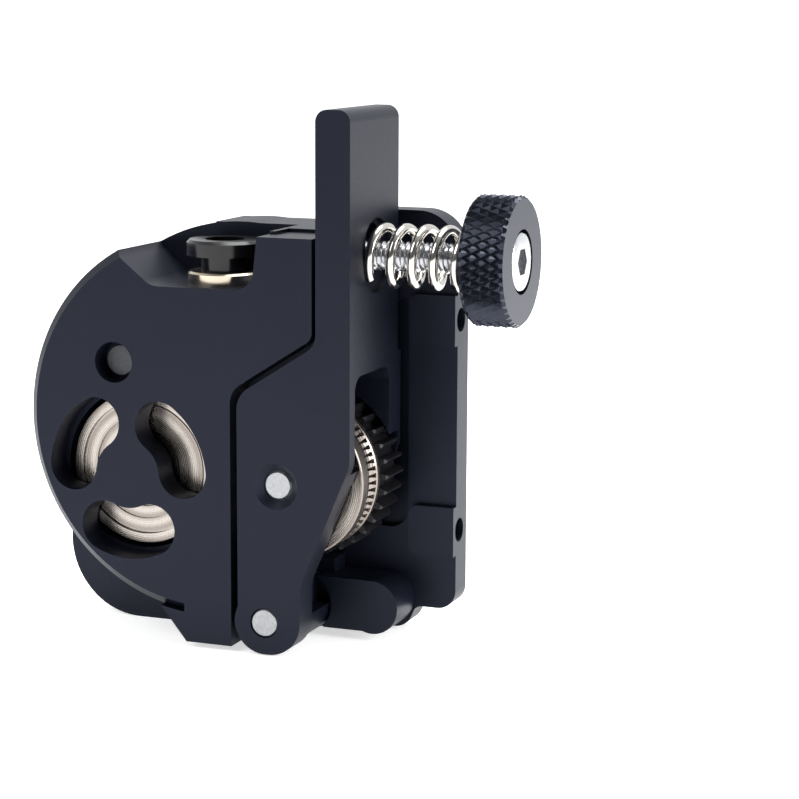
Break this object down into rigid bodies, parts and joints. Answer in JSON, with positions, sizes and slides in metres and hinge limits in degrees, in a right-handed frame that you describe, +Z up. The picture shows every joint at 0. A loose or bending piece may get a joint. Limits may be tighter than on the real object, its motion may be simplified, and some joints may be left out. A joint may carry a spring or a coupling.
{
  "type": "extruder gear assembly",
  "caption": "Dual-drive filament extruder gear assembly: geared serrated wheels in a metal housing with a sprung idler lever, thumb knob and push-fit filament inlet.",
  "frame": {"origin": "the motor axis where it meets the rear mounting face", "axes": "+X towards the thumb knob, +Y towards the motor, +Z up towards the filament inlet"},
  "size_m": [0.0512, 0.0174, 0.055],
  "materials": {
    "black_anodised": "bead-blasted and black anodised",
    "steel_pin": "ground pin",
    "bright_screw": "bright zinc plated",
    "spring_wire": "bright nickel plated wire",
    "bronze": "sintered bronze",
    "bearing_steel": "ground",
    "wheel_steel": "turned",
    "black_gear": "black oxide steel",
    "nickel_ring": "nickel plated brass",
    "black_collet": "glossy moulded",
    "guide_plastic": "natural fluoropolymer"
  },
  "bodies": {
    "housing": {"main_housing": "black_anodised", "front_cover": "black_anodised", "locating_dowel": "steel_pin", "cover_screws": "bright_screw", "pivot_pin": "steel_pin", "front_bush": "bronze", "rear_bearing_outer": "bearing_steel", "rear_bearing_balls": "bearing_steel", "coupler_ring": "nickel_ring", "filament_guide": "guide_plastic"},
    "drive_train": {"drive_shaft": "bearing_steel", "drive_hob_wheel": "wheel_steel", "drive_gear": "black_gear", "drive_wheel_pins": "steel_pin", "rear_bearing_inner": "bearing_steel"},
    "lever": {"tension_lever": "black_anodised", "idler_pin": "steel_pin", "tension_spring": "spring_wire"},
    "idler": {"idler_hob_wheel": "wheel_steel", "idler_gear": "black_gear", "idler_wheel_pins": "steel_pin", "idler_bearing_cup": "bearing_steel", "idler_needles": "bearing_steel"},
    "spring_seat": {"spring_washer": "bright_screw"},
    "knob": {"thumb_knob": "black_anodised", "tension_screw": "bright_screw"},
    "collet": {"release_collet": "black_collet"}
  },
  "joints": [
    {"name": "lever_swing", "type": "hinge", "parent": "housing", "child": "lever", "pos_m": [0.006, -0.0087, -0.0202], "axis": [0, 1, 0], "range_deg": [0, 7], "stiffness_Nm_per_rad": 16, "springref_deg": -2.86, "deforming": ["tension_spring"]},
    {"name": "drive_spin", "type": "hinge", "parent": "housing", "child": "drive_train", "pos_m": [-0.00919, -0.009, -0.00604], "axis": [0, 1, 0], "continuous": true},
    {"name": "idler_spin", "type": "hinge", "parent": "lever", "child": "idler", "pos_m": [0.00731, -0.009, -0.00604], "axis": [0, 1, 0], "continuous": true},
    {"name": "seat_advance", "type": "slide", "parent": "housing", "child": "spring_seat", "axis": [1, 0, 0], "range_m": [-0.0015, 0.001], "deforming": ["tension_spring"]},
    {"name": "knob_turn", "type": "hinge", "parent": "spring_seat", "child": "knob", "pos_m": [0.0285, -0.01033, 0.01673], "axis": [1, 0, 0], "range_deg": [-1080, 720]},
    {"name": "collet_press", "type": "slide", "parent": "housing", "child": "collet", "axis": [0, 0, 1], "range_m": [-0.0009, 0], "stiffness_N_per_m": 1500, "springref_m": 0.0004}
  ],
  "couplings": [
    {"joint": "idler_spin", "follows": "drive_spin", "ratio": -1},
    {"joint": "knob_turn", "follows": "seat_advance", "rad_per_m": 12566}
  ]
}
